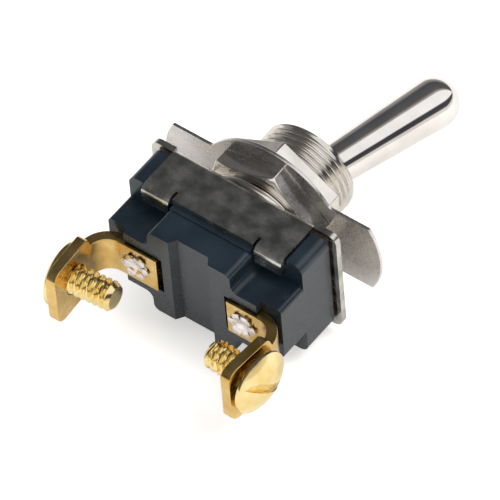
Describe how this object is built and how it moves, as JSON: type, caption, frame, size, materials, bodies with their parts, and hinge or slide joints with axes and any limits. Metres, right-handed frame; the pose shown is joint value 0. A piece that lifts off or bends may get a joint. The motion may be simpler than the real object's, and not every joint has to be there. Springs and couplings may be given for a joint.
{
  "type": "panel toggle switch",
  "caption": "Panel-mount bat toggle switch with a threaded bushing, hex nuts, an eared legend plate, a moulded case in a folded frame and screw terminals.",
  "frame": {"origin": "on the bushing's axis, at the front face of the mounting frame's plate", "axes": "-Y along the bushing, out of the panel; +X along the case towards the switched terminal; +Z out of one flap of the frame"},
  "size_m": [0.0297, 0.0487, 0.0186],
  "materials": {
    "phenolic": "moulded, satin gloss",
    "plated_steel": "nickel plated sheet",
    "nickel": "bright nickel plate",
    "brass": "stamped brass",
    "silver_contact": "fine silver",
    "steel": "drawn steel",
    "fibre": "vulcanised fibre"
  },
  "bodies": {
    "base": {"case": "phenolic", "mounting_frame": "plated_steel", "insulating_sheet": "fibre", "threaded_bushing": "nickel", "legend_plate": "nickel", "hinge_pin": "steel", "fulcrum_bracket": "brass", "fixed_contact": "silver_contact", "common_terminal": "brass", "switched_terminal": "brass", "common_rivet": "plated_steel", "switched_rivet": "plated_steel"},
    "lever_arm": {"lever": "nickel", "plunger_spring": "steel"},
    "plunger_pin": {"plunger": "brass"},
    "rocker_arm": {"rocker": "brass", "moving_contact": "silver_contact"},
    "back_nut_turning": {"back_nut": "nickel"},
    "front_nut_turning": {"front_nut": "nickel"},
    "common_screw_turning": {"common_screw": "brass"},
    "switched_screw_turning": {"switched_screw": "brass"}
  },
  "joints": [
    {"name": "lever_throw", "type": "hinge", "parent": "base", "child": "lever_arm", "pos_m": [0, -0.005, 0], "axis": [0, 0, 1], "range_deg": [0, 32]},
    {"name": "rocker_tilt", "type": "hinge", "parent": "base", "child": "rocker_arm", "pos_m": [0, 0.0057, 0], "axis": [0, 0, 1], "range_deg": [-14, 0]},
    {"name": "plunger_retract", "type": "slide", "parent": "lever_arm", "child": "plunger_pin", "axis": [-0.2756, -0.9613, 0], "range_m": [0, 0.0005], "stiffness_N_per_m": 400, "springref_m": -0.002, "deforming": ["plunger_spring"]},
    {"name": "back_nut_turn", "type": "hinge", "parent": "base", "child": "back_nut_turning", "pos_m": [0, -0.0027, 0], "axis": [0, -1, 0], "continuous": true},
    {"name": "front_nut_turn", "type": "hinge", "parent": "base", "child": "front_nut_turning", "pos_m": [0, -0.0055, 0], "axis": [0, -1, 0], "continuous": true},
    {"name": "common_screw_turn", "type": "hinge", "parent": "base", "child": "common_screw_turning", "pos_m": [-0.0127, 0.01633, 0], "axis": [-0.9976, 0.0698, 0], "continuous": true},
    {"name": "switched_screw_turn", "type": "hinge", "parent": "base", "child": "switched_screw_turning", "pos_m": [0.0127, 0.01633, 0], "axis": [0.9976, 0.0698, 0], "continuous": true}
  ],
  "couplings": [
    {"joint": "rocker_tilt", "follows": "lever_throw", "ratio": -0.4375}
  ]
}
